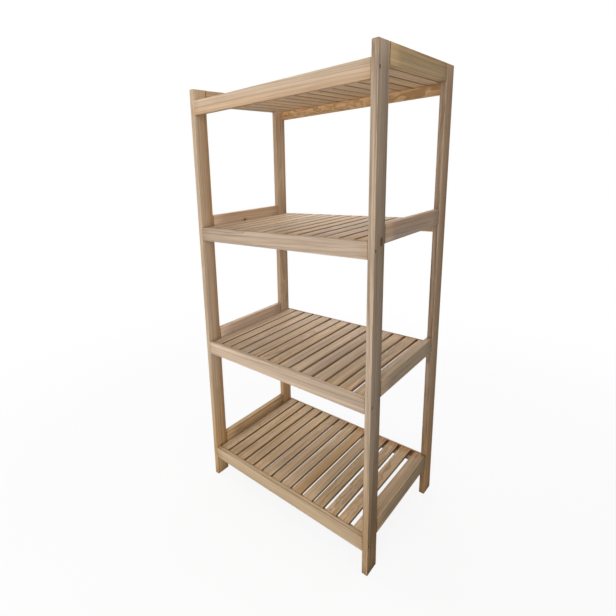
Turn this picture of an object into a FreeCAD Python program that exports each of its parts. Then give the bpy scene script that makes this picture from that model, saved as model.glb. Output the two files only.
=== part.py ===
import FreeCAD, Part
import os

from FreeCAD import Placement, Rotation, Vector

# Free-standing pine shelving unit: two tenoned end frames, tied by rails that carry slatted decks.
# Millimetres. X runs along the width, the front is towards -Y, and Z rises from the floor.

# Overall size.
unit_width = 600.0
unit_depth = 445.0

# Levels: floor to the lowest front rail, slats to slats in each bay, and slats to end rail tops.
foot_clearance = 72.0
lower_bay = 411.0
middle_bay = 394.0
upper_bay = 387.0
end_rail_rise = 34.0

# Board sections.
post_thickness = 16.0
post_width = 51.0
end_rail_height = 45.0
rail_thickness = 16.0
front_rail_height = 42.0
back_rail_height = 38.0
back_rail_lip = 6.0
cleat_width = 15.0
cleat_height = 15.0
slat_width = 32.0
slat_thickness = 10.0
least_slat_gap = 8.0
edge_ease = 1.2

# Clearances at the ends of the slats and cleats.
slat_end_gap = 0.5
cleat_end_gap = 1.0

# Countersunk screws through the front posts into the ends of the front rails.
rail_screw_radius = 2.0
rail_screw_head_radius = 4.0
rail_screw_bite = 34.0
rail_screw_sink = 1.0

# Stub tenons: on the end rails into the edges of the posts, and on the back rails into their faces.
tenon_thickness = 6.0
tenon_shoulder = 7.5
end_tenon_length = 14.0
back_tenon_length = 8.0

# Fits of the mortises and drilled holes.
tenon_clearance = 0.1
screw_hole_clearance = 0.2
pilot_clearance = 0.05
blind_end_clearance = 1.0

# Places worked out from the sizes above.
inner_width = unit_width - 2 * post_thickness
end_rail_length = unit_depth - 2 * post_width
lowest_slat_level = foot_clearance + front_rail_height
slat_levels = [lowest_slat_level]
for bay in (lower_bay, middle_bay, upper_bay):
    slat_levels.append(slat_levels[-1] + bay)
unit_height = slat_levels[-1] + end_rail_rise
slat_count = int((inner_width - least_slat_gap + 1e-6) // (slat_width + least_slat_gap))
slat_gap = (inner_width - slat_count * slat_width) / (slat_count + 1)
front_rail_back = rail_thickness - unit_depth / 2
slat_front = front_rail_back + slat_end_gap
back_rail_front = unit_depth / 2 - rail_thickness
slat_back = unit_depth / 2 - back_rail_lip - slat_end_gap

LEFT, RIGHT = -1, 1
FRONT, BACK = -1, 1
side_names = {LEFT: "left", RIGHT: "right"}
face_names = {FRONT: "front", BACK: "back"}
X_AXIS = Vector(1, 0, 0)
Y_AXIS = Vector(0, 1, 0)
Z_AXIS = Vector(0, 0, 1)


def centred_box(centre, size):
    """A plain box about its centre."""
    return Part.makeBox(size.x, size.y, size.z, centre - size * 0.5)


def eased_board(centre, size, grain, ends=False):
    """A sawn board with its edges along the grain eased, and its end edges too if asked."""
    board = centred_box(centre, size)
    edges = [edge for edge in board.Edges if ends or abs(edge.tangentAt(0).dot(grain)) > 0.5]
    return board.makeChamfer(edge_ease, edges)


def countersunk(start, axis, head, shank, sink, length):
    """A head that starts a little below the face and narrows to its round shank."""
    neck = sink + head - shank
    cone = Part.makeCone(head, shank, neck - sink, start + axis * sink, axis)
    return cone.fuse(Part.makeCylinder(shank, length - neck, start + axis * neck, axis))


def rail_screw_hole(start, axis):
    """The hole for a screw: a sunk seat, a clear hole through the post and a pilot in the rail."""
    seat = rail_screw_head_radius + screw_hole_clearance
    clear = rail_screw_radius + screw_hole_clearance
    pilot = rail_screw_radius + pilot_clearance
    mouth = Part.makeCylinder(seat, rail_screw_sink + seat, start - axis * seat, axis)
    through = countersunk(start, axis, seat, clear, rail_screw_sink, post_thickness)
    bite = rail_screw_bite + blind_end_clearance
    return mouth.fuse([through, Part.makeCylinder(pilot, bite, start + axis * post_thickness, axis)])


def front_rail_centre(level):
    """The middle of a front rail: its top is level with the slats, and it hides their ends."""
    return Vector(0, (rail_thickness - unit_depth) / 2, level - front_rail_height / 2)


def back_rail_centre(level):
    """The middle of a back rail: its lip is level with the slats, and it closes the gaps between them."""
    return Vector(0, (unit_depth - rail_thickness) / 2, level - back_rail_height / 2)


def end_rail_centre(side, level):
    """The middle of an end rail: its top stands above the slats as a side lip."""
    x = side * (unit_width - post_thickness) / 2
    return Vector(x, 0, level + end_rail_rise - end_rail_height / 2)


def rail_screw_places(side):
    """Start and direction of every screw that goes through one front post into a rail."""
    for level in slat_levels:
        yield front_rail_centre(level) + X_AXIS * (side * unit_width / 2), X_AXIS * -side


def end_rail_tenons(side, level, clearance=0.0, end_clearance=0.0):
    """The tenons on both ends of an end rail, or with clearances the mortises for them."""
    length = end_rail_length + 2 * (end_tenon_length + end_clearance)
    height = end_rail_height - 2 * tenon_shoulder
    size = Vector(tenon_thickness + 2 * clearance, length, height + 2 * clearance)
    return centred_box(end_rail_centre(side, level), size)


def back_rail_tenons(level, clearance=0.0, end_clearance=0.0):
    """The tenons below a back rail's rebate, or with clearances the mortises for them."""
    length = inner_width + 2 * (back_tenon_length + end_clearance)
    height = back_rail_height - slat_thickness - 2 * tenon_shoulder
    size = Vector(length, tenon_thickness + 2 * clearance, height + 2 * clearance)
    return centred_box(back_rail_centre(level) - Z_AXIS * (slat_thickness / 2), size)


def back_rail_rebate(level):
    """The cut along the front of a back rail, inside its lip, which the back ends of the slats lie in."""
    size = Vector(unit_width, 2 * (rail_thickness - back_rail_lip), 2 * slat_thickness)
    return centred_box(Vector(0, back_rail_front, level), size)


def make_posts():
    """Four upright boards, cut square at the foot, with every edge eased."""
    size = Vector(post_thickness, post_width, unit_height)
    fit = (tenon_clearance, blind_end_clearance)
    for side in (LEFT, RIGHT):
        mortises = [end_rail_tenons(side, level, *fit) for level in slat_levels]
        screw_holes = [rail_screw_hole(start, axis) for start, axis in rail_screw_places(side)]
        back_mortises = [back_rail_tenons(level, *fit) for level in slat_levels]
        for face, cuts in ((FRONT, screw_holes), (BACK, back_mortises)):
            x = side * (unit_width - post_thickness) / 2
            y = face * (unit_depth - post_width) / 2
            post = eased_board(Vector(x, y, unit_height / 2), size, Z_AXIS, ends=True)
            yield f"{face_names[face]}_{side_names[side]}_post", post.cut(mortises + cuts)


def make_end_rails():
    """The rails of both end frames, flush with the posts and tenoned into them."""
    size = Vector(post_thickness, end_rail_length, end_rail_height)
    for side in (LEFT, RIGHT):
        for number, level in enumerate(slat_levels, 1):
            rail = eased_board(end_rail_centre(side, level), size, Y_AXIS)
            yield f"{side_names[side]}_end_rail_{number}", rail.fuse(end_rail_tenons(side, level))


def make_front_rails():
    """The front rails, screwed through the posts."""
    size = Vector(inner_width, rail_thickness, front_rail_height)
    places = [place for side in (LEFT, RIGHT) for place in rail_screw_places(side)]
    holes = [rail_screw_hole(start, axis) for start, axis in places]
    for number, level in enumerate(slat_levels, 1):
        yield f"front_rail_{number}", eased_board(front_rail_centre(level), size, X_AXIS).cut(holes)


def make_back_rails():
    """The back rails, rebated for the slats and tenoned into the posts."""
    size = Vector(inner_width, rail_thickness, back_rail_height)
    for number, level in enumerate(slat_levels, 1):
        rail = eased_board(back_rail_centre(level), size, X_AXIS).cut(back_rail_rebate(level))
        yield f"back_rail_{number}", rail.fuse(back_rail_tenons(level))


def make_cleats():
    """The strips glued behind the front rails, which the front ends of the slats rest on."""
    size = Vector(inner_width - 2 * cleat_end_gap, cleat_width, cleat_height)
    for number, level in enumerate(slat_levels, 1):
        z = level - slat_thickness - cleat_height / 2
        centre = Vector(0, front_rail_back + cleat_width / 2, z)
        yield f"front_cleat_{number}", eased_board(centre, size, X_AXIS)


def make_slats():
    """The slats of every deck, evenly spaced: on the cleat in front, and in the back rail's rebate."""
    size = Vector(slat_width, slat_back - slat_front, slat_thickness)
    first = -inner_width / 2 + slat_gap + slat_width / 2
    y = (slat_front + slat_back) / 2
    for number, level in enumerate(slat_levels, 1):
        places = [first + (slat_width + slat_gap) * slat for slat in range(slat_count)]
        centres = [Vector(x, y, level - slat_thickness / 2) for x in places]
        slats = [eased_board(centre, size, Y_AXIS) for centre in centres]
        yield f"deck_slats_{number}", Part.makeCompound(slats)


def make_rail_screws():
    """All rail screws as one group."""
    length = post_thickness + rail_screw_bite
    sizes = (rail_screw_head_radius, rail_screw_radius, rail_screw_sink, length)
    places = [place for side in (LEFT, RIGHT) for place in rail_screw_places(side)]
    yield "rail_screws", Part.makeCompound([countersunk(start, axis, *sizes) for start, axis in places])


os.makedirs("parts", exist_ok=True)
rails = (make_end_rails, make_front_rails, make_back_rails)
for make in (make_posts, *rails, make_cleats, make_slats, make_rail_screws):
    for node, shape in make():
        shape.exportStep(f"parts/{node}.step")
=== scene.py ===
import math

import bpy
from mathutils import Matrix, Vector


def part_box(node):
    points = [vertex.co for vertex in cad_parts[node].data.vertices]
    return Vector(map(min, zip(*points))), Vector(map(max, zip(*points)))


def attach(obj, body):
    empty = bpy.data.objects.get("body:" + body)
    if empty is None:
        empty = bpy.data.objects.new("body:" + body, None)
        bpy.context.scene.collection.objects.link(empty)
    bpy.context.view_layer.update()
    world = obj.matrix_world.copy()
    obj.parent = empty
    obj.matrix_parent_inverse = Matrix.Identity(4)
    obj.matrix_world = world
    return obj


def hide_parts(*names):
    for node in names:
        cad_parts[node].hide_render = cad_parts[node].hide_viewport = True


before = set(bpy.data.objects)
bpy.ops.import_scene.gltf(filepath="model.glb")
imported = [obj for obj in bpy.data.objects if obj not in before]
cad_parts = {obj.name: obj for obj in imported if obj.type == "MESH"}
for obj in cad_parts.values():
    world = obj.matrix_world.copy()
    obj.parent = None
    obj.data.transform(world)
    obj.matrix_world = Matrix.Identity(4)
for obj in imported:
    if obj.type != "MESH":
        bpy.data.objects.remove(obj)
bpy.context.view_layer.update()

# Metres. The boards take their places and sizes from the CAD solids. These are details beyond them.
edge_radius = 0.0012
edge_steps = 3
end_rings = 2
ring_spacing = 0.06
least_steps = 6
joint_gap = 0.00025
end_joint_gap = 0.0006
cutter_overreach = 1.2
least_cut = 0.002

# How squarely a face has to look along the grain to be a sawn end, or across it to be a side.
end_facing = 0.5
side_facing = 0.8

# The slats of a deck, and how freely they were laid.
slat_count = 14
slat_width = 0.032
slat_end_gap = 0.0005
slat_sag = 0.0004
slat_slack = 0.0005
slat_skew = 0.0008
slat_last_shift = 0.001
slat_pith_distance = 0.1
slat_spread = 0.7
crowded_share = 10 / 13

# What is drawn at random for each board, in the order of its seeds, and between which limits.
seed_stride = 31
random_draws = ("sag", "slack", "spin", "pith", "lean", "log_place", "off_pith", "tone", "hue",
                "heart", "knot", "clear", "skew", "stain")
pith_limits = (0.6, 1.4)
lean_limits = (-0.018, 0.018)
log_limits = (0.0, 40.0)
off_pith_limits = (-0.02, 0.02)
stain_limits = (0.6, 1.0)
heart_stray = 0.15

# Where in a row the end stains begin and rise, and how far off the knot of a clear board is.
stain_start = 0.42
stain_rise = 0.2
out_of_reach = 10.0

# Fasteners.
screw_head_radius = 0.004
screw_head_height = 0.0016
screw_head_sides = 32
screw_head_lift = 0.0002
screw_seat_radius = 0.0042
screw_seat_depth = 0.001
screw_seat_sides = 32
screw_slot_width = 0.0011
screw_slot_depth = 0.0012
slot_reach = 1.25
screw_seed = 5
nail_head_radius = 0.0013
nail_head_height = 0.0004
nail_head_sides = 10
nail_proud = 0.0001
nail_stray = 0.0025
nail_seed = 9

# The figure of the wood: how often each kind of change comes per metre along the grain and across
# it, and the detail in it.
figure_noises = {
    "wave": (2.2, 16.0, 2.0),
    "shake": (22.0, 160.0, 2.0),
    "curl": (34.0, 60.0, 1.0),
    "fibre": (14.0, 1100.0, 3.0),
    "band": (1.4, 130.0, 2.0),
    "thread": (5.0, 330.0, 2.0),
    "streak": (9.0, 420.0, 2.0),
    "patch": (3.5, 28.0, 3.0),
    "fray": (40.0, 300.0, 2.0),
}
noise_roughness = 0.55
wave_reach = 0.024
shake_reach = 0.0014
curl_reach = 0.015
ring_stray_rate = 90.0
ring_stray = 2.5
late_rise = (0.25, 0.92)
late_fall = (0.92, 1.0, 1.0, 0.0)
faintest_ring = 0.3
streak_range = (0.60, 0.74)
heart_range = (0.075, 0.035)

# A unit of tone is this share of the light. A unit of hue adds to the red and takes from the blue.
tone_unit = 0.06
hue_red = 0.02
hue_blue = 0.08
band_light = 0.8
patch_light = 0.45
thread_light = 0.5
# Paler edges: partly wear, partly a painted highlight.
wear_and_highlight_light = 0.09
end_grain_light = 0.62
# Light taken from the narrow sides of slats by the painted shade in the gaps between them.
gap_shade_loss = 0.6
streak_strength = 0.22

# Marks that start from ends, edges and cuts: where they begin, where they are full, and how ragged
# they are. Paler edges are partly wear and partly a painted highlight, the colour on the narrow
# sides of slats is painted shade in the gaps between them, and the colour in and under a rebate is
# painted shade.
soaked_range = (0.035, 0.002)
soaked_fray = 0.06
soaked_strength = 0.4
wear_and_highlight_range = (0.0022, 0.0002)
wear_and_highlight_fray = 0.004
joint_range = (0.0045, 0.0008)
crept_range = (0.040, 0.014)
crept_fray = 0.03
under_rebate_range = (0.014, 0.006)
gap_shade_colour = (0.44, 0.255, 0.115, 1)
stain_tint = (0.84, 0.60, 0.37, 1)
rebate_shade_colour = (0.20, 0.075, 0.022, 1)

# A knot, about its own middle.
knot_shape = (0.6, 1.0, 0.5)
swell_reach = 0.016
swell_height = 0.012
halo_range = (0.03, 0.007)
halo_strength = 0.28
core_range = (0.0068, 0.0052)
core_strength = 0.85
core_fray = 0.002
core_ring_rate = 800.0
core_colours = (0.20, 0.09, 0.035, 1), (0.13, 0.055, 0.02, 1)
rim_outside = (0.0085, 0.0066)
rim_inside = (0.0052, 0.0064)
rim_strength = 0.75
rim_colour = (0.07, 0.03, 0.014, 1)

# Marks on the feet, by their height above the floor: painted shade that makes the posts darker and
# warmer towards the floor, painted light that lifts them right by the floor, and dirt.
foot_shade_range = (0.50, 0.05)
foot_shade_tint = (0.94, 0.80, 0.58, 1)
foot_light_range = (0.12, 0.02)
foot_light_tint = (1.25, 1.25, 1.3, 1)
soil_range = (0.022, 0.0)
soil_noise = ((110.0, 110.0, 40.0), 3.0)
soil_fray = 0.03
soil_strength = 0.15
soil_colour = (0.19, 0.15, 0.105, 1)

# The surface of the wood, and the steel of the fasteners.
wood_roughness = 0.6
fibre_roughness = 0.2
late_polish = 0.08
fibre_height = 0.6
late_height = 0.5
streak_depth = 0.4
bump_strength = 0.35
bump_distance = 0.0004
wood_specular = 0.15
spot_scale = 900.0
spot_detail = 4.0
spot_dark = 0.45
scratch_scale = (300.0, 3000.0, 6000.0)
scratch_roughness = 0.25

# The stage: a floor that is plain white far from the unit, even ambient light, and softboxes with
# their places, targets, sizes and watts.
white = (1, 1, 1, 1)
floor_reach = 12
floor_far = (0.7, 2.2)
floor_bounce = (0.45, 0.45, 0.45, 1)
floor_roughness = 0.9
floor_paper = (0.95, 0.95, 0.95, 1)
floor_whiteness = 0.89
ambient = (0.04, 0.04, 0.04, 1)
softboxes = {
    "key": ((0.75, -2.5, 2.2), (0.0, 0.0, 0.75), 1.8, 34),
    "left": ((-2.2, -0.6, 2.6), (0.0, 0.0, 0.75), 1.8, 30),
    "overhead": ((0.2, 0.8, 3.2), (0.0, 0.0, 0.6), 2.4, 30),
    "low_fill": ((0.4, -1.9, 0.3), (0.0, 0.0, 1.0), 1.2, 22),
    "right": ((2.4, -0.9, 1.4), (0.0, 0.0, 0.8), 1.6, 7),
    "back_fill": ((-1.2, 2.4, 1.5), (0.0, 0.0, 0.7), 1.6, 22),
}

# The camera, fitted to the edges of the boards in the photograph.
camera_place = Vector((0.7238, -1.0901, 1.0919))
camera_yaw = math.radians(46.36)
camera_pitch = math.radians(-12.45)
camera_roll = math.radians(-3.29)
camera_lens = 24.139
camera_sensor = 36.0
camera_shift = (0.1347, -0.0731)

# How each kind of board lies. The columns are the ways that its grain, width and thickness run.
upright = Matrix(((0, 0, -1), (0, 1, 0), (1, 0, 0)))
front_to_back_on_edge = Matrix(((0, 0, 1), (1, 0, 0), (0, 1, 0)))
side_to_side_on_edge = Matrix(((1, 0, 0), (0, 0, -1), (0, 1, 0)))
front_to_back_flat = Matrix(((0, 1, 0), (-1, 0, 0), (0, 0, 1)))


class Net:
    """A node tree that is written like sums: most methods add a node and give its output."""

    def __init__(self, tree):
        self.tree = tree

    def fill(self, node, values):
        """Sets a node's inputs by name or number, to constants or to other nodes' outputs."""
        for key, value in values.items():
            if isinstance(value, bpy.types.NodeSocket):
                self.tree.links.new(value, node.inputs[key])
            else:
                node.inputs[key].default_value = value

    def add(self, kind, values=None, **settings):
        """A new node with its settings and inputs."""
        node = self.tree.nodes.new(kind)
        for name, value in settings.items():
            setattr(node, name, value)
        self.fill(node, values or {})
        return node

    def out(self, kind, values=None, **settings):
        """The first output of a new node."""
        return self.add(kind, values, **settings).outputs[0]

    def maths(self, operation, *values, clamp=False):
        """The result of a Math node."""
        values = dict(enumerate(values))
        return self.out("ShaderNodeMath", values, operation=operation, use_clamp=clamp)

    def plus(self, value, *others):
        """The sum of two values or more."""
        for other in others:
            value = self.maths("ADD", value, other)
        return value

    def times(self, value, *others):
        """The product of two values or more."""
        for other in others:
            value = self.maths("MULTIPLY", value, other)
        return value

    def minus(self, value, other):
        """The difference of two values."""
        return self.maths("SUBTRACT", value, other)

    def over(self, value, other):
        """One value divided by another."""
        return self.maths("DIVIDE", value, other)

    def rest(self, share):
        """What a share leaves of the whole."""
        return self.minus(1.0, share)

    def size(self, value):
        """A value without its sign."""
        return self.maths("ABSOLUTE", value)

    def above(self, value, limit):
        """One where a value is above a limit, and nothing elsewhere."""
        return self.maths("GREATER_THAN", value, limit)

    def below(self, value, limit):
        """One where a value is below a limit, and nothing elsewhere."""
        return self.maths("LESS_THAN", value, limit)

    def ramp(self, value, low, high, start=0.0, end=1.0):
        """A smooth change while a value goes from one limit to another."""
        values = {"Value": value, "From Min": low, "From Max": high, "To Min": start, "To Max": end}
        return self.out("ShaderNodeMapRange", values, interpolation_type="SMOOTHSTEP")

    def vectors(self, operation, *values):
        """The result of a Vector Math node that gives a vector."""
        return self.out("ShaderNodeVectorMath", dict(enumerate(values)), operation=operation)

    def scaled(self, vector, factor):
        """A vector times a number."""
        return self.out("ShaderNodeVectorMath", {0: vector, "Scale": factor}, operation="SCALE")

    def length_of(self, vector):
        """The length of a vector."""
        return self.add("ShaderNodeVectorMath", {0: vector}, operation="LENGTH").outputs["Value"]

    def joined(self, **parts):
        """A vector from its parts."""
        return self.out("ShaderNodeCombineXYZ", parts)

    def parts_of(self, vector):
        """The parts of a vector, by the names of the axes."""
        return self.add("ShaderNodeSeparateXYZ", {0: vector}).outputs

    def mixed(self, factor, first, second, blend="MIX"):
        """Two colours, mixed."""
        values = {0: factor, 6: first, 7: second}
        return self.add("ShaderNodeMix", values, data_type="RGBA", blend_type=blend).outputs[2]

    def stored(self, geometry, name, value, kind="FLOAT_VECTOR", domain="POINT"):
        """Keeps a value on the geometry under a name."""
        values = {"Geometry": geometry, "Name": name, "Value": value}
        return self.out("GeometryNodeStoreNamedAttribute", values, data_type=kind, domain=domain)

    def recalled(self, name, kind="FLOAT_VECTOR"):
        """A value that the geometry keeps under a name."""
        return self.out("GeometryNodeInputNamedAttribute", {"Name": name}, data_type=kind)

    def chance(self, low, high, number, seed):
        """A random number for each board or fastener."""
        values = {2: low, 3: high, "ID": number, "Seed": seed}
        return self.add("FunctionNodeRandomValue", values, data_type="FLOAT").outputs[1]

    def cut(self, mesh, *cutters):
        """A mesh with other meshes cut out of it."""
        node = self.add("GeometryNodeMeshBoolean", {"Mesh 1": mesh}, operation="DIFFERENCE",
                        solver="EXACT")
        for cutter in cutters:
            self.fill(node, {"Mesh 2": cutter})
        return node.outputs["Mesh"]

    def either(self, condition, then, otherwise):
        """One geometry or the other."""
        values = {"Switch": condition, "False": otherwise, "True": then}
        return self.out("GeometryNodeSwitch", values, input_type="GEOMETRY")


def new_group(name, kind, inputs, outputs):
    """A node group with named inputs and outputs: its net, its given sockets and its last node."""
    tree = bpy.data.node_groups.new(name, kind)
    for title, socket, default in inputs:
        made = tree.interface.new_socket(title, in_out="INPUT", socket_type=f"NodeSocket{socket}")
        if default is not None:
            made.default_value = default
    for title, socket in outputs:
        tree.interface.new_socket(title, in_out="OUTPUT", socket_type=f"NodeSocket{socket}")
    net = Net(tree)
    return net, net.add("NodeGroupInput").outputs, net.add("NodeGroupOutput")


def make_board_tree():
    """A row of planed boards with eased edges and ends, each sawn from its own place in a log."""
    net, given, result = new_group("planed_boards", "GeometryNodeTree", [
        ("Seats", "Geometry", None),
        ("Seat Radius", "Float", screw_seat_radius),
        ("Seat Depth", "Float", screw_seat_depth),
        ("Board Count", "Int", 1),
        ("Board Pitch", "Float", 0.0),
        ("Board Length", "Float", 1.0),
        ("Board Width", "Float", 0.05),
        ("Board Thickness", "Float", 0.016),
        ("Edge Radius", "Float", edge_radius),
        ("Rebate Width", "Float", 0.0),
        ("Rebate Depth", "Float", 0.0),
        ("Under Rebate Shade", "Float", 0.0),
        ("Length Steps", "Int", 8),
        ("Sag", "Float", 0.0),
        ("Slack", "Float", 0.0),
        ("Skew", "Float", 0.0),
        ("Crowding", "Float", 0.0),
        ("Last Shift", "Float", 0.0),
        ("End Stain", "Float", 0.0),
        ("Knot At", "Vector", None),
        ("Knot Scatter", "Vector", None),
        ("Knot Share", "Float", 0.0),
        ("Knot Size", "Float", 1.0),
        ("Pith Distance", "Float", 0.07),
        ("Figure Scale", "Float", 1.0),
        ("Figure Strength", "Float", 1.0),
        ("Heart", "Float", 0.0),
        ("Tone", "Float", 0.0),
        ("Hue", "Float", 0.0),
        ("Spread", "Float", 0.4),
        ("Edge Tone", "Float", 0.0),
        ("Far End Tone", "Float", 0.0),
        ("Turn", "Rotation", None),
        ("Middle", "Vector", None),
        ("Seed", "Int", 1),
        ("Material", "Material", None),
    ], [("Boards", "Geometry")])
    position = net.out("GeometryNodeInputPosition")
    index = net.out("GeometryNodeInputIndex")
    steps = given["Length Steps"]
    ease = given["Edge Radius"]
    cross_sizes = given["Board Width"], given["Board Thickness"]
    half = net.times(given["Board Length"], 0.5)
    half_width, half_thickness = (net.times(size, 0.5) for size in cross_sizes)
    half_size = net.joined(X=half, Y=half_width, Z=half_thickness)

    # The rounded section, swept along a line with one more ring near each end to ease its edges.
    section = net.out("GeometryNodeCurvePrimitiveQuadrilateral", {
        "Width": given["Board Width"], "Height": given["Board Thickness"]}, mode="RECTANGLE")
    rounded = net.out("GeometryNodeFilletCurve", {
        "Curve": section, "Count": edge_steps, "Radius": ease}, mode="POLY")
    line = net.out("GeometryNodeCurvePrimitiveLine", {"End": (1, 0, 0)}, mode="POINTS")
    path = net.out("GeometryNodeResampleCurve", {
        "Curve": line, "Count": net.plus(steps, 1 + end_rings)}, mode="COUNT")
    through = net.maths("DIVIDE", net.minus(index, 1), steps, clamp=True)
    ring_at = net.times(net.minus(through, 0.5), net.times(net.minus(half, ease), 2.0))
    tip = net.minus(net.above(index, net.plus(steps, 1.5)), net.below(index, 0.5))
    ring_at = net.plus(ring_at, net.times(tip, ease))
    path = net.out("GeometryNodeSetPosition", {
        "Geometry": path, "Position": net.joined(X=ring_at)})
    level = net.out("GeometryNodeSetCurveNormal", {"Curve": path}, mode="Z_UP")
    swept = net.out("GeometryNodeCurveToMesh", {
        "Curve": level, "Profile Curve": rounded, "Fill Caps": True})
    from_end = net.minus(half, net.size(net.parts_of(position)["X"]))
    at_end = net.below(from_end, net.times(ease, 0.5))
    narrower = [net.rest(net.over(net.times(ease, 2.0), size)) for size in cross_sizes]
    eased = net.vectors("MULTIPLY", position, net.joined(X=1.0, Y=narrower[0], Z=narrower[1]))
    board = net.out("GeometryNodeSetPosition", {
        "Geometry": swept, "Selection": at_end, "Position": eased})

    # A rebate along one edge, cut into the width by its depth and into the thickness by its width.
    cutter = net.out("GeometryNodeMeshCube", {"Size": net.joined(
        X=net.times(given["Board Length"], cutter_overreach),
        Y=net.times(given["Rebate Depth"], 2.0), Z=net.times(given["Rebate Width"], 2.0))})
    at_edge = net.out("GeometryNodeTransform", {
        "Geometry": cutter, "Translation": net.joined(Y=half_width, Z=half_thickness)})
    with_rebate = net.above(given["Rebate Depth"], 0.0)
    board = net.either(with_rebate, net.cut(board, at_edge), board)

    # Flat-bottomed seats for screw heads, at the points that come in.
    drill = net.out("GeometryNodeMeshCylinder", {
        "Vertices": screw_seat_sides, "Radius": given["Seat Radius"],
        "Depth": net.times(given["Seat Depth"], 2.0)})
    drills = net.out("GeometryNodeInstanceOnPoints", {"Points": given["Seats"], "Instance": drill})
    drills = net.out("GeometryNodeRealizeInstances", {"Geometry": drills})
    seats = net.add("GeometryNodeAttributeDomainSize", {
        "Geometry": given["Seats"]}, component="MESH")
    seated = net.above(seats.outputs["Point Count"], 0)
    board = net.either(seated, net.cut(board, drills), board)

    # Sawn ends and narrow sides, by the way they face. The floor of a rebate, and its wall, face
    # like the board's sides and lie below them. The shader paints shade on these rebate faces and
    # on the narrow sides of slats.
    facing = net.parts_of(net.out("GeometryNodeInputNormal"))
    sawn_end = net.above(net.size(facing["X"]), end_facing)
    sawn_side, broad_side = (net.above(net.size(facing[axis]), side_facing) for axis in "YZ")
    sunk = net.parts_of(net.vectors("SUBTRACT", half_size, net.vectors("ABSOLUTE", position)))
    cuts = [net.times(side, net.above(sunk[axis], least_cut))
            for side, axis in ((sawn_side, "Y"), (broad_side, "Z"))]
    board = net.stored(board, "end_grain", sawn_end, "FLOAT", "FACE")
    board = net.stored(board, "sawn_side", sawn_side, "FLOAT", "FACE")
    board = net.stored(board, "rebate", net.maths("MAXIMUM", *cuts), "FLOAT", "FACE")
    board = net.stored(board, "board_half", half_size)
    board = net.stored(board, "board_place", position)

    # The row, with its boards numbered.
    last_number = net.minus(given["Board Count"], 1)
    row_start = net.times(net.times(last_number, given["Board Pitch"]), -0.5)
    row = net.out("GeometryNodeMeshLine", {
        "Count": given["Board Count"], "Start Location": net.joined(Y=row_start),
        "Offset": net.joined(Y=given["Board Pitch"])}, mode="OFFSET")
    placed = net.out("GeometryNodeInstanceOnPoints", {"Points": row, "Instance": board})
    numbered = net.stored(placed, "board_number", index, "INT", "INSTANCE")
    boards = net.out("GeometryNodeRealizeInstances", {"Geometry": numbered})
    number = net.recalled("board_number", "INT")
    place = net.recalled("board_place")
    first_seed = net.times(given["Seed"], seed_stride)
    seeds = {draw: net.plus(first_seed, step) for step, draw in enumerate(random_draws)}

    def chance(draw, low, high):
        """One of the random draws for each board."""
        return net.chance(low, high, number, seeds[draw])

    # Each board sags a little, and lies a little off its place and askew.
    along = net.parts_of(place)["X"]
    from_middle = net.over(along, half)
    belly = net.rest(net.times(from_middle, from_middle))
    sag = net.times(chance("sag", -1.0, 0.0), given["Sag"])
    drift = net.times(chance("slack", -1.0, 1.0), given["Slack"])
    askew = net.times(chance("skew", -1.0, 1.0), given["Skew"])
    drift = net.plus(drift, net.times(askew, from_middle))

    # The boards of a row stand closer at first and wider towards its end. The last one is set over.
    share = net.over(number, net.maths("MAXIMUM", last_number, 1))
    closer = net.over(share, crowded_share)
    wider = net.over(net.rest(share), 1.0 - crowded_share)
    crowded = net.times(net.maths("MINIMUM", closer, wider), given["Crowding"])
    final = net.above(number, net.minus(last_number, 0.5))
    set_over = net.minus(net.times(final, given["Last Shift"]), crowded)
    shift = net.joined(Y=net.plus(drift, set_over), Z=net.times(sag, belly))
    boards = net.out("GeometryNodeSetPosition", {"Geometry": boards, "Offset": shift})

    # The place in the log, whose pith runs along X: turned about the grain, set off the pith, and a
    # little askew.
    spin = chance("spin", 0.0, math.tau)
    spun = net.out("ShaderNodeVectorRotate", {
        "Vector": place, "Angle": spin}, rotation_type="X_AXIS")
    grown = net.scaled(spun, net.over(1.0, given["Figure Scale"]))
    reach = net.times(given["Pith Distance"], chance("pith", *pith_limits))
    lean = net.times(along, chance("lean", *lean_limits))
    in_log = net.joined(X=chance("log_place", *log_limits), Y=net.plus(reach, lean),
                        Z=chance("off_pith", *off_pith_limits))
    boards = net.stored(boards, "wood_place", net.vectors("ADD", grown, in_log))

    # Boards of one batch differ a little in tone, warmth and heartwood.
    tone, hue, heart = (net.times(chance(draw, -1.0, 1.0), given["Spread"])
                        for draw in ("tone", "hue", "heart"))
    tones = net.joined(X=net.plus(given["Tone"], tone), Y=net.plus(given["Hue"], hue),
                       Z=net.plus(given["Heart"], net.times(heart, heart_stray)))
    # Tones for the narrow sides and towards the far end, which on some boards are painted light and
    # shade.
    edge_tone = net.joined(X=given["Edge Tone"], Y=given["Far End Tone"])
    # The strength of the painted shade just under a rebate, and the rebate's depth.
    under_rebate_shade = net.joined(X=given["Under Rebate Shade"], Y=given["Rebate Depth"])
    boards = net.stored(boards, "board_tone", tones)
    boards = net.stored(boards, "figure", given["Figure Strength"], "FLOAT")
    boards = net.stored(boards, "edge_tone", edge_tone)
    boards = net.stored(boards, "under_rebate_shade", under_rebate_shade)

    # The later boards of a row may be stained at one end.
    stained = net.maths("DIVIDE", net.minus(share, stain_start), stain_rise, clamp=True)
    stained = net.times(stained, chance("stain", *stain_limits), given["End Stain"])
    boards = net.stored(boards, "end_stain", stained, "FLOAT")

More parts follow.
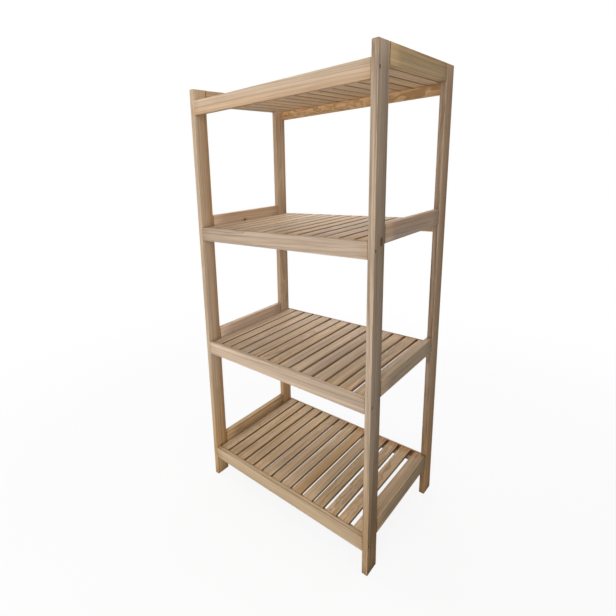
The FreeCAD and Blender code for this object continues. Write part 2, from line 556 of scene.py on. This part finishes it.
    # A knot. Boards without one have it far away.
    scatter = net.out("FunctionNodeRandomValue", {
        0: (-1, -1, -1), 1: (1, 1, 1), "ID": number, "Seed": seeds["knot"]},
        data_type="FLOAT_VECTOR")
    scattered = net.vectors("MULTIPLY", scatter, given["Knot Scatter"])
    knot = net.vectors("ADD", given["Knot At"], scattered)
    clear = net.above(chance("clear", 0.0, 1.0), given["Knot Share"])
    from_knot = net.scaled(net.vectors("SUBTRACT", place, knot), net.over(1.0, given["Knot Size"]))
    away = net.joined(X=net.times(clear, out_of_reach))
    boards = net.stored(boards, "knot_place", net.vectors("ADD", from_knot, away))

    stood = net.out("GeometryNodeTransform", {
        "Geometry": boards, "Translation": given["Middle"], "Rotation": given["Turn"]})
    finished = net.out("GeometryNodeSetMaterial", {
        "Geometry": stood, "Material": given["Material"]})
    net.fill(result, {"Boards": finished})
    return net.tree


def make_head_tree():
    """Fastener heads on the points that come in, facing out or up, some with a cross slot."""
    net, given, result = new_group("fastener_heads", "GeometryNodeTree", [
        ("Places", "Geometry", None),
        ("Head Radius", "Float", 0.004),
        ("Head Height", "Float", 0.002),
        ("Head Sides", "Int", 24),
        ("Slot Width", "Float", 0.0),
        ("Slot Depth", "Float", 0.0),
        ("Upward", "Float", 0.0),
        ("Stray", "Float", 0.0),
        ("Seed", "Int", 1),
        ("Material", "Material", None),
    ], [("Heads", "Geometry")])
    index = net.out("GeometryNodeInputIndex")
    disc = net.out("GeometryNodeMeshCylinder", {
        "Vertices": given["Head Sides"], "Radius": given["Head Radius"],
        "Depth": given["Head Height"]})
    below = net.joined(Z=net.times(given["Head Height"], -0.5))
    head = net.out("GeometryNodeTransform", {"Geometry": disc, "Translation": below})
    arm = net.times(given["Head Radius"], slot_reach)
    depth = net.times(given["Slot Depth"], 2.0)
    bar_sizes = ((arm, given["Slot Width"]), (given["Slot Width"], arm))
    bars = [net.out("GeometryNodeMeshCube", {"Size": net.joined(X=x, Y=y, Z=depth)})
            for x, y in bar_sizes]
    shape = net.either(net.above(given["Slot Width"], 0.0), net.cut(head, *bars), head)
    side = net.maths("SIGN", net.parts_of(net.out("GeometryNodeInputPosition"))["X"])
    aim = net.joined(X=net.times(side, net.rest(given["Upward"])), Z=given["Upward"])
    aimed = net.out("FunctionNodeAlignRotationToVector", {"Vector": aim}, axis="Z")
    driven = net.joined(Z=net.chance(0.0, math.pi, index, given["Seed"]))
    turned = net.out("FunctionNodeRotateRotation", {
        "Rotation": aimed, "Rotate By": driven}, rotation_space="LOCAL")
    seeds = [net.plus(given["Seed"], step) for step in (1, 2)]
    strays = [net.times(given["Stray"], net.chance(-1.0, 1.0, index, seed)) for seed in seeds]
    places = net.out("GeometryNodeSetPosition", {
        "Geometry": given["Places"], "Offset": net.joined(X=strays[0], Y=strays[1])})
    heads = net.out("GeometryNodeInstanceOnPoints", {
        "Points": places, "Instance": shape, "Rotation": turned})
    real = net.out("GeometryNodeRealizeInstances", {"Geometry": heads})
    finished = net.out("GeometryNodeSetMaterial", {"Geometry": real, "Material": given["Material"]})
    net.fill(result, {"Heads": finished})
    return net.tree


def made_by_tree(name, tree, values, points=()):
    """A plain mesh piece at the origin, made from points by a geometry tree with given inputs."""
    source = bpy.data.meshes.new(f"{name}_points")
    source.from_pydata(points, [], [])
    piece = bpy.data.objects.new(name, source)
    bpy.context.scene.collection.objects.link(piece)
    modifier = piece.modifiers.new("shape", "NODES")
    modifier.node_group = tree
    for item in tree.interface.items_tree:
        if item.in_out == "INPUT" and item.name in values:
            modifier[item.identifier] = values[item.name]
    bpy.context.view_layer.update()
    graph = bpy.context.evaluated_depsgraph_get()
    mesh = bpy.data.meshes.new_from_object(piece.evaluated_get(graph), depsgraph=graph)
    piece.modifiers.clear()
    piece.data = mesh
    mesh.name = name
    bpy.data.meshes.remove(source)
    return piece


def make_pine_group():
    """Pine as sawn from the log: growth rings, heartwood, fibres, resin streaks and a knot."""
    net, given, result = new_group("pine_figure", "ShaderNodeTree", [
        ("Sapwood", "Color", (0.6, 0.45, 0.3, 1)),
        ("Heartwood", "Color", (0.55, 0.33, 0.17, 1)),
        ("Latewood", "Color", (0.4, 0.24, 0.12, 1)),
        ("Ring Width", "Float", 0.0032),
        ("Ring Strength", "Float", 0.5),
        ("Fibre Strength", "Float", 0.5),
        ("Side Shade", "Float", 0.0),
        ("Joint Shade", "Float", 0.0),
        ("Rebate Shade", "Float", 0.0),
        ("Foot Shade Light And Dirt", "Float", 0.0),
    ], [("Color", "Color"), ("Roughness", "Float"), ("Height", "Float")])

    def kept(name, output="Vector"):
        """What the boards keep under a name."""
        return net.add("ShaderNodeAttribute", attribute_name=name).outputs[output]

    def noise(vector, scale, detail, output="Fac"):
        """Noise with its own scale along each axis."""
        values = {"Vector": net.vectors("MULTIPLY", vector, scale), "Scale": 1.0, "Detail": detail,
                  "Roughness": noise_roughness}
        return net.add("ShaderNodeTexNoise", values).outputs[output]

    def grain(kind, output="Fac"):
        """One kind of change in the figure, drawn out along the grain."""
        along, across, detail = figure_noises[kind]
        return noise(place, (along, across, across), detail, output)

    def swing(value, amount):
        """How far noise is from its middle, times an amount."""
        return net.times(net.minus(value, 0.5), amount)

    # What the boards keep: their places in the log and in the board, their tones and their marks.
    place = kept("wood_place")
    on_board = kept("board_place")
    half_size = kept("board_half")
    spot = net.parts_of(on_board)
    insets = net.parts_of(net.vectors("SUBTRACT", half_size, net.vectors("ABSOLUTE", on_board)))
    tones = net.parts_of(kept("board_tone"))
    edge_tones = net.parts_of(kept("edge_tone"))
    under_rebate_shade = net.parts_of(kept("under_rebate_shade"))
    from_knot = net.length_of(net.vectors("MULTIPLY", kept("knot_place"), knot_shape))
    figure, narrow, end_grain, end_stain, in_rebate = (
        kept(name, "Fac") for name in ("figure", "sawn_side", "end_grain", "end_stain", "rebate"))

    # Growth rings: slow waves along the trunk bend them, a fine shake breaks them, strong figure
    # curls them, and they swell round a knot.
    curl = net.times(net.maths("SUBTRACT", figure, 1.0, clamp=True), curl_reach)
    bends = {"wave": (0.0, wave_reach, wave_reach), "shake": (0.0, shake_reach, shake_reach),
             "curl": net.joined(Y=curl, Z=curl)}
    bent = place
    for kind, reach in bends.items():
        stray = net.vectors("SUBTRACT", grain(kind, "Color"), (0.5, 0.5, 0.5))
        bent = net.vectors("ADD", bent, net.vectors("MULTIPLY", stray, reach))
    radius = net.length_of(net.vectors("MULTIPLY", bent, (0.0, 1.0, 1.0)))
    near_knot = net.maths("POWER", net.over(from_knot, swell_reach), 2.0)
    swell = net.maths("EXPONENT", net.times(near_knot, -1.0))
    radius = net.plus(radius, net.times(swell, swell_height))
    uneven = net.out("ShaderNodeTexNoise", {
        "W": net.times(radius, ring_stray_rate), "Scale": 1.0, "Detail": 1.0},
        noise_dimensions="1D")
    rings = net.plus(net.over(radius, given["Ring Width"]), net.times(uneven, ring_stray))
    through_ring = net.maths("FRACT", rings)
    ring_number = net.maths("FLOOR", rings)
    late = net.times(net.ramp(through_ring, *late_rise), net.ramp(through_ring, *late_fall))
    each_ring = net.out("ShaderNodeTexWhiteNoise", {"W": ring_number}, noise_dimensions="1D")
    late = net.times(late, net.ramp(each_ring, 0.0, 1.0, faintest_ring, 1.0))

    # Fibres, bands and short resin streaks run along the grain, and broad patches change slowly.
    fibre, band, thread, patch = (grain(kind) for kind in ("fibre", "band", "thread", "patch"))
    streak = net.ramp(grain("streak"), *streak_range)

    # The board's ends have soaked up a little damp and gone warmer.
    soaked = net.ramp(net.plus(insets["X"], swing(patch, soaked_fray)), *soaked_range)
    soaked = net.times(soaked, soaked_strength)

    redder = net.plus(tones["Z"], soaked)
    heart = net.maths("ADD", net.ramp(radius, *heart_range), redder, clamp=True)
    strength = net.times(given["Ring Strength"], figure)
    colour = net.mixed(heart, given["Sapwood"], given["Heartwood"])
    colour = net.mixed(net.maths("MULTIPLY", late, strength, clamp=True), colour, given["Latewood"])
    colour = net.mixed(net.times(streak, streak_strength), colour, given["Latewood"])
    # Painted shade in the gaps between slats: their narrow sides are made darker and warmer by the
    # Side Shade.
    sawn = net.times(narrow, given["Side Shade"])
    colour = net.mixed(sawn, colour, gap_shade_colour)
    light = net.plus(1.0, net.times(tones["X"], tone_unit), swing(fibre, given["Fibre Strength"]),
                     net.plus(swing(band, band_light), swing(patch, patch_light)),
                     swing(thread, thread_light))

    # Some boards have narrow sides of another tone, and broad ones that change from end to end. On
    # some
    # boards these are painted light and shade: the back right post's narrow sides are painted
    # darker, and the front right post's broad sides lighter at the top and darker towards the
    # floor.
    light = net.plus(light, net.times(narrow, net.times(edge_tones["X"], tone_unit)))
    to_far_end = net.over(spot["X"], net.parts_of(half_size)["X"])
    on_broad = net.times(net.rest(narrow), net.times(edge_tones["Y"], tone_unit))
    light = net.times(light, net.plus(1.0, net.times(to_far_end, on_broad)))

    # The distance to the nearest edge of the board is the middle one of the three to its faces.
    # Edges are paler, partly from wear and partly as a painted highlight where eased edges catch
    # light, and joints are darker.
    nearer, farther = (net.maths(order, insets["X"], insets["Y"])
                       for order in ("MINIMUM", "MAXIMUM"))
    from_edge = net.maths("MAXIMUM", nearer, net.maths("MINIMUM", farther, insets["Z"]))
    in_joint = net.times(net.ramp(insets["X"], *joint_range), given["Joint Shade"])
    wear_and_highlight = net.ramp(net.plus(from_edge, swing(grain("fray"), wear_and_highlight_fray)), *wear_and_highlight_range)
    wear_and_highlight = net.times(wear_and_highlight, net.rest(sawn), net.rest(in_joint))
    light = net.plus(light, net.times(wear_and_highlight, wear_and_highlight_light))
    at_end = net.ramp(end_grain, 0.0, 1.0, 1.0, end_grain_light)
    light = net.times(light, net.rest(in_joint), at_end, net.rest(net.times(sawn, gap_shade_loss)))
    red = net.times(light, net.plus(1.0, net.times(tones["Y"], hue_red)))
    blue = net.times(light, net.rest(net.times(tones["Y"], hue_blue)))
    warm = net.out("ShaderNodeCombineColor", {"Red": red, "Green": light, "Blue": blue})
    colour = net.mixed(1.0, colour, warm, "MULTIPLY")

    # Stains that have crept in from one end, and painted shade inside a rebate and on the face just
    # under it.
    at_back = net.times(net.below(spot["X"], 0.0), end_stain)
    crept = net.ramp(net.plus(insets["X"], swing(patch, crept_fray)), *crept_range)
    colour = net.mixed(net.times(crept, at_back), colour, stain_tint, "MULTIPLY")
    under_rebate = net.ramp(net.minus(insets["Y"], under_rebate_shade["Y"]), *under_rebate_range)
    under_rebate = net.times(under_rebate, net.above(spot["Y"], 0.0), net.above(spot["Z"], 0.0))
    dark = net.maths("MAXIMUM", net.times(in_rebate, given["Rebate Shade"]),
                     net.times(under_rebate, under_rebate_shade["X"]))
    colour = net.mixed(dark, colour, rebate_shade_colour)

    # A knot: a stained halo, a red-brown core with its own fine rings, and a dark rim.
    halo = net.ramp(from_knot, *halo_range)
    core = net.ramp(from_knot, *core_range)
    rim = net.times(net.ramp(from_knot, *rim_outside), net.ramp(from_knot, *rim_inside))
    unround = net.plus(from_knot, net.times(patch, core_fray))
    core_rings = net.maths("FRACT", net.times(unround, core_ring_rate))
    core_colour = net.mixed(core_rings, *core_colours)
    colour = net.mixed(net.times(halo, halo_strength), colour, given["Latewood"])
    colour = net.mixed(net.times(core, core_strength), colour, core_colour)
    colour = net.mixed(net.times(rim, rim_strength), colour, rim_colour)

    # Posts go darker and warmer towards the floor as painted shade, are lifted right by the floor
    # with painted light, and take dirt from it.
    in_unit = net.add("ShaderNodeTexCoord").outputs["Object"]
    height = net.parts_of(in_unit)["Z"]
    soiled = net.plus(height, swing(noise(in_unit, *soil_noise), soil_fray))
    marks = (height, foot_shade_range), (height, foot_light_range), (soiled, soil_range)
    foot_shade, foot_light, soil = (net.times(net.ramp(value, *limits), given["Foot Shade Light And Dirt"])
                          for value, limits in marks)
    colour = net.mixed(foot_shade, colour, foot_shade_tint, "MULTIPLY")
    colour = net.mixed(foot_light, colour, foot_light_tint, "MULTIPLY")
    colour = net.mixed(net.times(soil, soil_strength), colour, soil_colour)

    rough = net.plus(wood_roughness, net.times(fibre, fibre_roughness))
    rough = net.minus(rough, net.times(late, late_polish))
    raised = net.plus(net.times(fibre, fibre_height), net.times(late, late_height))
    raised = net.minus(raised, net.times(streak, streak_depth))
    net.fill(result, {"Color": colour, "Roughness": rough, "Height": raised})
    return net.tree


def label(key):
    """The name of a group's input, from a plain key."""
    return key.replace("_", " ").title()


def new_material(name):
    """A node material, its net and its Principled shader."""
    material = bpy.data.materials.new(name)
    material.use_nodes = True
    return material, Net(material.node_tree), material.node_tree.nodes["Principled BSDF"]


def make_pine(name, group, values):
    """One batch of planed, unfinished pine."""
    material, net, shader = new_material(name)
    wood = net.add("ShaderNodeGroup", node_tree=group)
    net.fill(wood, {label(key): value for key, value in values.items()})
    bump = net.out("ShaderNodeBump", {
        "Strength": bump_strength, "Distance": bump_distance, "Height": wood.outputs["Height"]})
    net.fill(shader, {"Base Color": wood.outputs["Color"], "Roughness": wood.outputs["Roughness"],
                      "Normal": bump, "Specular IOR Level": wood_specular})
    return material


def make_steel(name, colour, roughness):
    """Dull fastener steel with fine scratches and dark spots."""
    material, net, shader = new_material(name)
    place = net.add("ShaderNodeTexCoord").outputs["Object"]
    spots = net.out("ShaderNodeTexNoise", {
        "Vector": place, "Scale": spot_scale, "Detail": spot_detail})
    scratched = net.vectors("MULTIPLY", place, scratch_scale)
    scratches = net.out("ShaderNodeTexNoise", {"Vector": scratched, "Scale": 1.0})
    spotted = net.mixed(spots, (*(spot_dark * part for part in colour), 1), (*colour, 1))
    rough = net.plus(roughness, net.times(scratches, scratch_roughness))
    net.fill(shader, {"Base Color": spotted, "Roughness": rough, "Metallic": 1.0})
    return material


pine_figure = make_pine_group()
planed_boards = make_board_tree()
fastener_heads = make_head_tree()

pine_colours = {"sapwood": (0.66, 0.50, 0.35, 1), "heartwood": (0.60, 0.39, 0.22, 1),
                "latewood": (0.42, 0.265, 0.145, 1)}
batches = {
    "post_pine": {"ring_width": 0.0042, "ring_strength": 0.62, "foot_shade_light_and_dirt": 1.0},
    "end_rail_pine": {"ring_width": 0.0044, "ring_strength": 0.66, "joint_shade": 0.4},
    "rail_pine": {"ring_width": 0.0046, "ring_strength": 0.66, "rebate_shade": 0.8},
    "cleat_pine": {"ring_width": 0.0036, "ring_strength": 0.6},
    "slat_pine": {"ring_width": 0.0040, "ring_strength": 0.62, "side_shade": 0.48},
}
woods = {slot: make_pine(slot, pine_figure, pine_colours | values)
         for slot, values in batches.items()}
screw_steel = make_steel("screw_steel", (0.16, 0.15, 0.14), 0.4)
nail_steel = make_steel("nail_steel", (0.32, 0.31, 0.30), 0.35)

sides = ("left", "right")
faces = ("front", "back")
levels = (1, 2, 3, 4)
post_boxes = {(face, side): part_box(f"{face}_{side}_post") for face in faces for side in sides}
inner_left, inner_right = post_boxes["front", "left"][1].x, post_boxes["front", "right"][0].x
inner_front, inner_back = post_boxes["front", "left"][1].y, post_boxes["back", "left"][0].y
front_rail_middles = [sum(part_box(f"front_rail_{level}"), Vector()) / 2 for level in levels]
outer_faces = {"left": post_boxes["front", "left"][0].x, "right": post_boxes["front", "right"][1].x}
screw_places = {side: [Vector((x, middle.y, middle.z)) for middle in front_rail_middles]
                for side, x in outer_faces.items()}

# What sets single boards apart: tone, warmth, figure, knots, stains, and slats that are set over.
# Some of it is painted light and shade: the raised tones of the top deck's slats and back rail
# partly stand in for light under the top deck, the lowest back rail has painted shade just under
# its rebate, the back right post's narrow sides are painted darker, and the front right post's
# sides are painted lighter at the top and darker towards the floor.
special = {
    "front_right_post": {"tone": -4.6, "hue": -0.6, "far_end_tone": 4.3,
                         "knot_place": (0.300, -0.188, 0.915), "knot_size": 0.9},
    "front_left_post": {"knot_place": (-0.300, -0.205, 0.330), "knot_size": 0.6},
    "back_right_post": {"tone": -0.8, "hue": -0.6, "heart": 0.3, "edge_tone": -6.0,
                        "figure_strength": 1.2, "pith_distance": 0.03},
    "back_left_post": {"far_end_tone": 2.4, "knot_place": (-0.300, 0.190, 0.620), "knot_size": 0.7},
    "front_rail_1": {"tone": -1.6, "hue": 1.1, "far_end_tone": -1.2, "edge_tone": 1.5},
    "front_rail_2": {"tone": -1.1, "hue": -1.1, "heart": -0.6, "far_end_tone": -4.6,
                     "edge_tone": 4.0, "figure_scale": 1.3, "figure_strength": 0.7,
                     "pith_distance": 0.05},
    "front_rail_3": {"tone": -2.9, "hue": -1.1},
    "front_rail_4": {"tone": -0.3, "hue": -0.5, "far_end_tone": -1.8, "figure_scale": 1.4,
                     "figure_strength": 0.7, "pith_distance": 0.045},
    "back_rail_1": {"under_rebate_shade": 0.85},
    "back_rail_2": {"knot_place": (0.120, 0.2225, 0.508), "knot_size": 0.6},
    "back_rail_4": {"tone": 4.3, "hue": 1.6, "heart": -0.4, "far_end_tone": -0.8,
                    "figure_scale": 1.4, "figure_strength": 2.0, "pith_distance": 0.03},
    "right_end_rail_1": {"tone": -3.8, "hue": 1.0},
    "right_end_rail_2": {"tone": -1.2, "hue": 0.4},
    "right_end_rail_3": {"tone": 2.0, "hue": -2.2, "far_end_tone": 2.5},
    "right_end_rail_4": {"tone": 1.3, "hue": 2.3},
    "left_end_rail_1": {"tone": -0.8, "hue": 1.4, "heart": 0.35},
    "left_end_rail_2": {"tone": 3.8, "hue": -1.8, "heart": -0.6},
    "left_end_rail_3": {"tone": 4.0, "hue": -0.5, "heart": -0.6,
                        "knot_place": (-0.284, -0.019, 0.9217), "knot_size": 0.5},
    "left_end_rail_4": {"knot_place": (-0.300, 0.060, 1.316), "knot_size": 0.5},
    "deck_slats_1": {"tone": -0.2, "hue": 1.1, "heart": 0.2, "figure_strength": 1.35,
                     "crowding": 0.006, "last_shift": 0.0035, "end_stain": 0.9},
    "deck_slats_2": {"tone": 0.5, "figure_strength": 1.2, "edge_tone": 2.0, "last_shift": 0.0004,
                     "end_stain": 0.3},
    "deck_slats_3": {"tone": 0.2, "edge_tone": 1.0},
    "deck_slats_4": {"tone": 4.0, "hue": 0.9, "knot_share": 0.2,
                     "knot_scatter": (0.17, 0.012, 0.002), "knot_size": 0.45},
}


def lay(node, slot, lie, low, high, seats=(), **values):
    """Makes a board, or a row of boards, that fills a box, in the place of its CAD node."""
    values |= special.get(node, {})
    knot_place = values.pop("knot_place", None)
    middle, size = (low + high) / 2, high - low
    to_board = lie.transposed()
    length, width, thickness = (abs(part) for part in to_board @ size)
    inputs = {"Board Length": length, "Board Width": width, "Board Thickness": thickness,
              "Length Steps": max(least_steps, round(length / ring_spacing)),
              "Middle": middle, "Turn": lie.to_euler(), "Material": woods[slot],
              "Seed": 1 + list(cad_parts).index(node)}
    if knot_place:
        inputs |= {"Knot At": to_board @ (Vector(knot_place) - middle), "Knot Share": 1.0}
    inputs |= {label(key): value for key, value in values.items()}
    points = [to_board @ (seat - middle) for seat in seats]
    piece = made_by_tree(f"{node}_wood", planed_boards, inputs, points)
    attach(piece, "root")
    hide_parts(node)


def slat_pitch(low, high):
    """The distance from slat to slat in a deck that fills a box."""
    return (high.x - low.x - slat_width) / (slat_count - 1)


for (face, side), (low, high) in post_boxes.items():
    seats = screw_places[side] if face == "front" else ()
    lay(f"{face}_{side}_post", "post_pine", upright, low, high, seats)

for level in levels:
    for side in sides:
        node = f"{side}_end_rail_{level}"
        low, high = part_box(node)
        low.y, high.y = inner_front + end_joint_gap, inner_back - end_joint_gap
        lay(node, "end_rail_pine", front_to_back_on_edge, low, high)
    deck = f"deck_slats_{level}"
    deck_low, deck_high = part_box(deck)
    for face in faces:
        node = f"{face}_rail_{level}"
        low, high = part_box(node)
        low.x, high.x = inner_left + joint_gap, inner_right - joint_gap
        rebate = {"rebate_width": deck_high.y + slat_end_gap - low.y,
                  "rebate_depth": deck_high.z - deck_low.z} if face == "back" else {}
        lay(node, "rail_pine", side_to_side_on_edge, low, high, **rebate)
    node = f"front_cleat_{level}"
    lay(node, "cleat_pine", side_to_side_on_edge, *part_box(node))
    pitch = slat_pitch(deck_low, deck_high)
    deck_low.x, deck_high.x = -slat_width / 2, slat_width / 2
    lay(deck, "slat_pine", front_to_back_flat, deck_low, deck_high, board_count=slat_count,
        board_pitch=pitch, sag=slat_sag, slack=slat_slack, skew=slat_skew,
        last_shift=slat_last_shift, pith_distance=slat_pith_distance, spread=slat_spread)

# The sunk screw heads of the front rails, and a small nail at each end of every slat.
head_sink = screw_seat_depth - screw_head_lift
head_places = [place - Vector((math.copysign(head_sink, place.x), 0, 0))
               for side in sides for place in screw_places[side]]
screws = made_by_tree("rail_screw_heads", fastener_heads, {
    "Head Radius": screw_head_radius, "Head Height": screw_head_height,
    "Head Sides": screw_head_sides, "Slot Width": screw_slot_width,
    "Slot Depth": screw_slot_depth, "Seed": screw_seed, "Material": screw_steel}, head_places)
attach(screws, "root")
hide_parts("rail_screws")

nail_places = []
for level in levels:
    low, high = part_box(f"deck_slats_{level}")
    first, pitch = low.x + slat_width / 2, slat_pitch(low, high)
    over_cleat = sum(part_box(f"front_cleat_{level}"), Vector()).y / 2
    over_rebate = (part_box(f"back_rail_{level}")[0].y + high.y) / 2
    nail_places += [Vector((first + pitch * slat, y, high.z + nail_proud))
                    for y in (over_cleat, over_rebate) for slat in range(slat_count)]
nails = made_by_tree("slat_nail_heads", fastener_heads, {
    "Head Radius": nail_head_radius, "Head Height": nail_head_height, "Head Sides": nail_head_sides,
    "Upward": 1.0, "Stray": nail_stray, "Seed": nail_seed, "Material": nail_steel}, nail_places)
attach(nails, "root")


def make_floor():
    """A wide pale floor that takes a light shadow under the unit and is plain white far from it."""
    mesh = bpy.data.meshes.new("floor")
    corners = [(x * floor_reach, y * floor_reach, 0)
               for x, y in ((-1, -1), (1, -1), (1, 1), (-1, 1))]
    mesh.from_pydata(corners, [], [(0, 1, 2, 3)])
    floor = bpy.data.objects.new("floor", mesh)
    bpy.context.scene.collection.objects.link(floor)
    material, net, shader = new_material("floor_paper")
    far = net.ramp(net.length_of(net.add("ShaderNodeTexCoord").outputs["Object"]), *floor_far)
    net.fill(shader, {"Base Color": floor_bounce, "Roughness": floor_roughness,
                      "Specular IOR Level": 0.0})
    paper = net.out("ShaderNodeBsdfDiffuse", {"Color": floor_paper})
    glow = net.out("ShaderNodeEmission", {"Color": white, "Strength": 1.0})
    whiteness = net.plus(floor_whiteness, net.times(far, 1.0 - floor_whiteness))
    seen = net.out("ShaderNodeMixShader", {0: whiteness, 1: paper, 2: glow})
    by_camera = net.add("ShaderNodeLightPath").outputs["Is Camera Ray"]
    mix = net.out("ShaderNodeMixShader", {0: by_camera, 1: shader.outputs[0], 2: seen})
    net.fill(net.tree.nodes["Material Output"], {"Surface": mix})
    mesh.materials.append(material)


def add_softbox(name, place, target, size, watts):
    """A square area lamp that faces a target."""
    lamp = bpy.data.lights.new(name, "AREA")
    lamp.size = size
    lamp.energy = watts
    holder = bpy.data.objects.new(name, lamp)
    holder.location = place
    holder.rotation_euler = (Vector(target) - Vector(place)).to_track_quat("-Z", "Y").to_euler()
    bpy.context.scene.collection.objects.link(holder)


def make_world():
    """Even ambient light, and plain white where the camera or a reflection looks past the unit."""
    world = bpy.data.worlds.new("studio")
    bpy.context.scene.world = world
    world.use_nodes = True
    net = Net(world.node_tree)
    light = net.tree.nodes["Background"]
    net.fill(light, {"Color": ambient, "Strength": 1.0})
    backdrop = net.out("ShaderNodeBackground", {"Color": white, "Strength": 1.0})
    path = net.add("ShaderNodeLightPath").outputs
    mirrored = net.maths("MAXIMUM", path["Is Glossy Ray"], path["Is Transmission Ray"])
    seen = net.maths("MAXIMUM", path["Is Camera Ray"], mirrored)
    mix = net.out("ShaderNodeMixShader", {0: seen, 1: light.outputs[0], 2: backdrop})
    net.fill(net.tree.nodes["World Output"], {"Surface": mix})


def make_camera():
    """The camera at the photograph's place and angle."""
    lens = bpy.data.cameras.new("camera")
    lens.sensor_width = camera_sensor
    lens.lens = camera_lens
    lens.shift_x, lens.shift_y = camera_shift
    holder = bpy.data.objects.new("camera", lens)
    turn = Matrix.Rotation(camera_yaw, 4, "Z") @ Matrix.Rotation(math.pi / 2 + camera_pitch, 4, "X")
    roll = Matrix.Rotation(camera_roll, 4, "Z")
    holder.matrix_world = Matrix.Translation(camera_place) @ turn @ roll
    bpy.context.scene.collection.objects.link(holder)
    bpy.context.scene.camera = holder


make_floor()
make_world()
for name, (place, target, size, watts) in softboxes.items():
    add_softbox(name, place, target, size, watts)
make_camera()
bpy.context.scene.view_settings.view_transform = "Standard"
